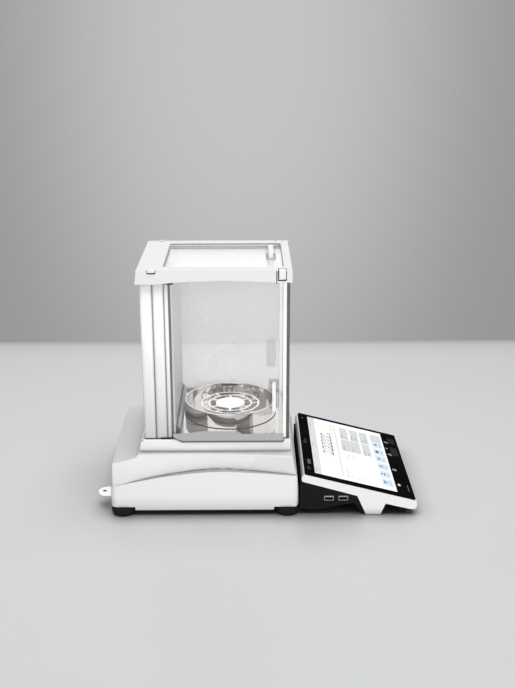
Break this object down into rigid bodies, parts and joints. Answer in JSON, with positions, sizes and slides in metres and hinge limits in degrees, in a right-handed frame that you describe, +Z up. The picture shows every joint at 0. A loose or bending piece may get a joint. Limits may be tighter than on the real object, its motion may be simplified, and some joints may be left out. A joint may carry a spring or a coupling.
{
  "type": "analytical balance",
  "caption": "Analytical balance with a glass draught shield (sliding side and top doors), polished floor, draught ring and open pan, wide base on levelling feet and a tilted touch terminal.",
  "frame": {"origin": "middle of the footprint of base, terminal and security lug, on the bench surface", "axes": "+X to the right of the person using the balance, +Y to its rear, +Z up; the terminal is at -Y"},
  "size_m": [0.2332, 0.4519, 0.3577],
  "materials": {
    "white_paint": "satin",
    "white_plastic": "satin",
    "white_profile": "satin",
    "grey_panel": "satin",
    "satin_steel": "satin",
    "polished_steel": "polished",
    "zinc_steel": "satin",
    "dark_steel": "satin",
    "machined_aluminium": "satin",
    "cast_plate": "cast",
    "brass_parts": "satin",
    "copper_coil": "enamelled",
    "clear_glass": "clear",
    "black_glass": "gloss",
    "clear_acrylic": "clear",
    "display": "gloss",
    "black_plastic": "matte",
    "charcoal_plastic": "matte",
    "grey_plastic": "matte",
    "rubber_feet": "matte",
    "circuit_board": "gloss"
  },
  "bodies": {
    "housing": {"base_lower_shell": "white_paint", "base_upper_shell": "white_paint", "shield_base": "white_paint", "security_lug": "white_paint", "base_chassis": "cast_plate", "connector_panel": "grey_plastic", "rear_sockets": "black_plastic", "tower_profile_left": "white_profile", "tower_profile_right": "white_profile", "tower_rear_cover": "white_paint", "chamber_rear_wall": "grey_panel", "air_outlet_strip": "satin_steel", "top_frame": "white_plastic", "front_glass": "clear_glass", "front_seal_strips": "white_plastic", "floor_tray": "polished_steel", "door_guides": "black_plastic", "main_board": "circuit_board", "cell_block": "machined_aluminium", "magnet_pot": "dark_steel", "cal_motor": "dark_steel", "chassis_screws": "zinc_steel", "terminal_housing": "white_plastic", "terminal_back_cover": "charcoal_plastic", "terminal_glass": "black_glass", "display_panel": "display", "terminal_board": "circuit_board", "usb_sockets": "zinc_steel", "terminal_feet": "rubber_feet", "terminal_cable": "black_plastic"},
    "left_door": {"left_door_glass": "clear_glass", "left_door_handle": "clear_acrylic"},
    "right_door": {"right_door_glass": "clear_glass", "right_door_handle": "clear_acrylic"},
    "top_door": {"top_door_glass": "clear_glass", "top_door_handle": "clear_acrylic"},
    "ring": {"draught_ring": "polished_steel"},
    "pan": {"weighing_pan": "polished_steel"},
    "load_receptor": {"load_spindle": "zinc_steel", "pan_support": "dark_steel"},
    "beam": {"balance_beam": "machined_aluminium", "force_coil": "copper_coil"},
    "cal_carriage": {"cal_lifter": "brass_parts", "cal_weight": "polished_steel"},
    "cal_drive": {"cal_screw": "zinc_steel"},
    "front_latch_left": {"latch_left": "white_plastic"},
    "front_latch_right": {"latch_right": "white_plastic"},
    "rear_catch_left": {"catch_left": "white_plastic"},
    "rear_catch_right": {"catch_right": "white_plastic"},
    "hook_port_cover": {"hook_cover": "grey_plastic"},
    "pad_fl": {"foot_pad_fl": "rubber_feet"},
    "wheel_fl": {"foot_wheel_fl": "black_plastic"},
    "pad_fr": {"foot_pad_fr": "rubber_feet"},
    "wheel_fr": {"foot_wheel_fr": "black_plastic"},
    "pad_rl": {"foot_pad_rl": "rubber_feet"},
    "wheel_rl": {"foot_wheel_rl": "black_plastic"},
    "pad_rr": {"foot_pad_rr": "rubber_feet"},
    "wheel_rr": {"foot_wheel_rr": "black_plastic"}
  },
  "joints": [
    {"name": "left_door_slide", "type": "slide", "parent": "housing", "child": "left_door", "axis": [0, 1, 0], "range_m": [0, 0.132]},
    {"name": "right_door_slide", "type": "slide", "parent": "housing", "child": "right_door", "axis": [0, 1, 0], "range_m": [0, 0.132]},
    {"name": "top_door_slide", "type": "slide", "parent": "housing", "child": "top_door", "axis": [0, 1, 0], "range_m": [0, 0.135]},
    {"name": "ring_lift_off", "type": "slide", "parent": "housing", "child": "ring", "axis": [0, 0, 1], "range_m": [0, 0.08]},
    {"name": "load_travel", "type": "slide", "parent": "housing", "child": "load_receptor", "axis": [0, 0, 1], "range_m": [-0.0002, 0.0002]},
    {"name": "pan_lift_off", "type": "slide", "parent": "load_receptor", "child": "pan", "axis": [0, 0, 1], "range_m": [0, 0.05]},
    {"name": "beam_tilt", "type": "hinge", "parent": "housing", "child": "beam", "pos_m": [0, 0.06225, 0.05], "axis": [1, 0, 0], "range_deg": [-0.5, 0.5]},
    {"name": "cal_screw_turn", "type": "hinge", "parent": "housing", "child": "cal_drive", "pos_m": [0.026, -0.00235, 0.045], "axis": [0, 0, 1], "range_deg": [0, 1080.5]},
    {"name": "cal_weight_lower", "type": "slide", "parent": "housing", "child": "cal_carriage", "axis": [0, 0, -1], "range_m": [0, 0.003], "stiffness_N_per_m": 100, "springref_m": -0.00943},
    {"name": "latch_left_swing", "type": "hinge", "parent": "housing", "child": "front_latch_left", "pos_m": [-0.0922, -0.03545, 0.3384], "axis": [0, -1, 0], "range_deg": [0, 35]},
    {"name": "latch_right_swing", "type": "hinge", "parent": "housing", "child": "front_latch_right", "pos_m": [0.0922, -0.03545, 0.3384], "axis": [0, 1, 0], "range_deg": [0, 35]},
    {"name": "catch_left_press", "type": "slide", "parent": "housing", "child": "rear_catch_left", "axis": [1, 0, 0], "range_m": [0, 0.0015]},
    {"name": "catch_right_press", "type": "slide", "parent": "housing", "child": "rear_catch_right", "axis": [-1, 0, 0], "range_m": [0, 0.0015]},
    {"name": "hook_cover_swing", "type": "hinge", "parent": "housing", "child": "hook_port_cover", "pos_m": [0.024, 0.03765, 0.012], "axis": [0, 0, 1], "range_deg": [0, 90]},
    {"name": "foot_fl_lower", "type": "slide", "parent": "housing", "child": "pad_fl", "axis": [0, 0, -1], "range_m": [0, 0.00601]},
    {"name": "foot_fl_turn", "type": "hinge", "parent": "pad_fl", "child": "wheel_fl", "pos_m": [-0.0996, -0.04325, 0.007], "axis": [0, 0, 1], "range_deg": [0, 1728]},
    {"name": "foot_fr_lower", "type": "slide", "parent": "housing", "child": "pad_fr", "axis": [0, 0, -1], "range_m": [0, 0.00601]},
    {"name": "foot_fr_turn", "type": "hinge", "parent": "pad_fr", "child": "wheel_fr", "pos_m": [0.0996, -0.04325, 0.007], "axis": [0, 0, 1], "range_deg": [0, 1728]},
    {"name": "foot_rl_lower", "type": "slide", "parent": "housing", "child": "pad_rl", "axis": [0, 0, -1], "range_m": [0, 0.00601]},
    {"name": "foot_rl_turn", "type": "hinge", "parent": "pad_rl", "child": "wheel_rl", "pos_m": [-0.0996, 0.18775, 0.007], "axis": [0, 0, 1], "range_deg": [0, 1728]},
    {"name": "foot_rr_lower", "type": "slide", "parent": "housing", "child": "pad_rr", "axis": [0, 0, -1], "range_m": [0, 0.00601]},
    {"name": "foot_rr_turn", "type": "hinge", "parent": "pad_rr", "child": "wheel_rr", "pos_m": [0.0996, 0.18775, 0.007], "axis": [0, 0, 1], "range_deg": [0, 1728]}
  ],
  "couplings": [
    {"joint": "beam_tilt", "follows": "load_travel", "rad_per_m": -40.65},
    {"joint": "cal_screw_turn", "follows": "cal_weight_lower", "rad_per_m": 6283.2},
    {"joint": "foot_fl_lower", "follows": "foot_fl_turn", "m_per_rad": 0.00019894},
    {"joint": "foot_fr_lower", "follows": "foot_fr_turn", "m_per_rad": 0.00019894},
    {"joint": "foot_rl_lower", "follows": "foot_rl_turn", "m_per_rad": 0.00019894},
    {"joint": "foot_rr_lower", "follows": "foot_rr_turn", "m_per_rad": 0.00019894}
  ]
}
